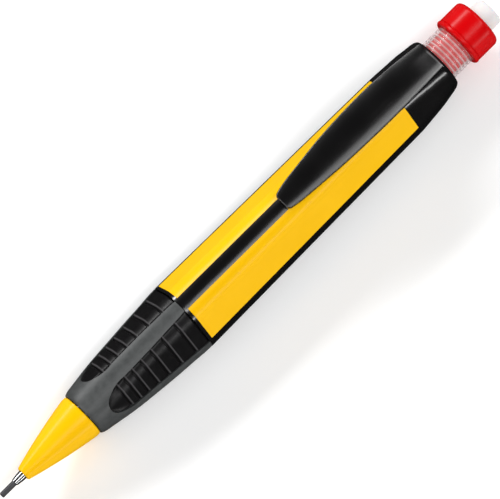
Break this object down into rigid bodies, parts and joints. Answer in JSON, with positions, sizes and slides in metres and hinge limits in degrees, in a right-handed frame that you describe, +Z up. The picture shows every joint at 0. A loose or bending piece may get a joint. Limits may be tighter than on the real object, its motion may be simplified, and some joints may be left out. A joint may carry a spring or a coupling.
{
  "type": "mechanical pencil",
  "caption": "Triangular mechanical pencil for thick lead: ribbed soft grip, push-button clutch, screw-off nose, sprung pocket clip and twist-out eraser in a clear tube.",
  "frame": {"origin": "Middle of the pencil's length and width, at the level of the flat underside it rests on.", "axes": "+X runs from the lead tip to the eraser, +Z goes up through the ridge that carries the clip, +Y is across."},
  "size_m": [0.148, 0.0174, 0.0205],
  "materials": {
    "graphite": "satin",
    "chrome": "polished",
    "yellow_plastic": "gloss",
    "black_plastic": "gloss",
    "charcoal_plastic": "matte",
    "black_rubber": "matte",
    "red_plastic": "gloss",
    "clear_plastic": "gloss",
    "eraser_white": "matte",
    "white_plastic": "satin",
    "brass": "satin",
    "spring_steel": "satin"
  },
  "bodies": {
    "barrel": {"barrel_core": "black_plastic", "panel_left": "yellow_plastic", "panel_right": "yellow_plastic", "panel_under": "yellow_plastic", "grip_shell": "charcoal_plastic", "finger_pad_left": "black_rubber", "finger_pad_right": "black_rubber", "finger_pad_under": "black_rubber", "collar": "black_plastic", "clutch_sleeve": "brass", "return_spring": "spring_steel"},
    "clip": {"clip": "black_plastic"},
    "nose_slide": {"lead_retainer": "black_rubber"},
    "nose": {"nose_cone": "yellow_plastic", "tip_sleeve": "chrome"},
    "push": {"chuck": "brass", "chuck_coupler": "black_plastic", "lead_reservoir": "white_plastic"},
    "ring": {"clutch_ring": "brass"},
    "lead": {"lead": "graphite"},
    "eraser_holder": {"eraser_tube": "clear_plastic", "refill_plug": "black_plastic"},
    "cap": {"twist_cap": "red_plastic"},
    "eraser_slide": {"eraser": "eraser_white", "eraser_carrier": "white_plastic"}
  },
  "joints": [
    {"name": "push_button", "type": "slide", "parent": "barrel", "child": "push", "axis": [-1, 0, 0], "range_m": [0, 0.0035], "stiffness_N_per_m": 250, "springref_m": -0.01, "deforming": ["return_spring"]},
    {"name": "clutch_ring_slide", "type": "slide", "parent": "barrel", "child": "ring", "axis": [-1, 0, 0], "range_m": [0, 0.001]},
    {"name": "lead_feed", "type": "slide", "parent": "barrel", "child": "lead", "axis": [-1, 0, 0], "range_m": [-0.0038, 0.012]},
    {"name": "nose_travel", "type": "slide", "parent": "barrel", "child": "nose_slide", "axis": [-1, 0, 0], "range_m": [0, 0.0045]},
    {"name": "nose_turn", "type": "hinge", "parent": "nose_slide", "child": "nose", "pos_m": [-0.059, 0, 0.00736], "axis": [-1, 0, 0], "range_deg": [0, 1300]},
    {"name": "eraser_pull", "type": "slide", "parent": "push", "child": "eraser_holder", "axis": [1, 0, 0], "range_m": [0, 0.03]},
    {"name": "cap_twist", "type": "hinge", "parent": "eraser_holder", "child": "cap", "pos_m": [0.067, 0, 0.00736], "axis": [1, 0, 0], "range_deg": [-725, 3250]},
    {"name": "eraser_feed", "type": "slide", "parent": "cap", "child": "eraser_slide", "axis": [1, 0, 0], "range_m": [-0.002, 0.009]},
    {"name": "clip_flex", "type": "hinge", "parent": "barrel", "child": "clip", "pos_m": [0.053, 0, 0.01456], "axis": [0, 1, 0], "range_deg": [0, 4], "stiffness_Nm_per_rad": 0.8}
  ],
  "couplings": [
    {"joint": "clutch_ring_slide", "follows": "push_button", "ratio": 0.285},
    {"joint": "nose_turn", "follows": "nose_travel", "rad_per_m": 5026.5},
    {"joint": "cap_twist", "follows": "eraser_feed", "rad_per_m": 6283.2}
  ]
}
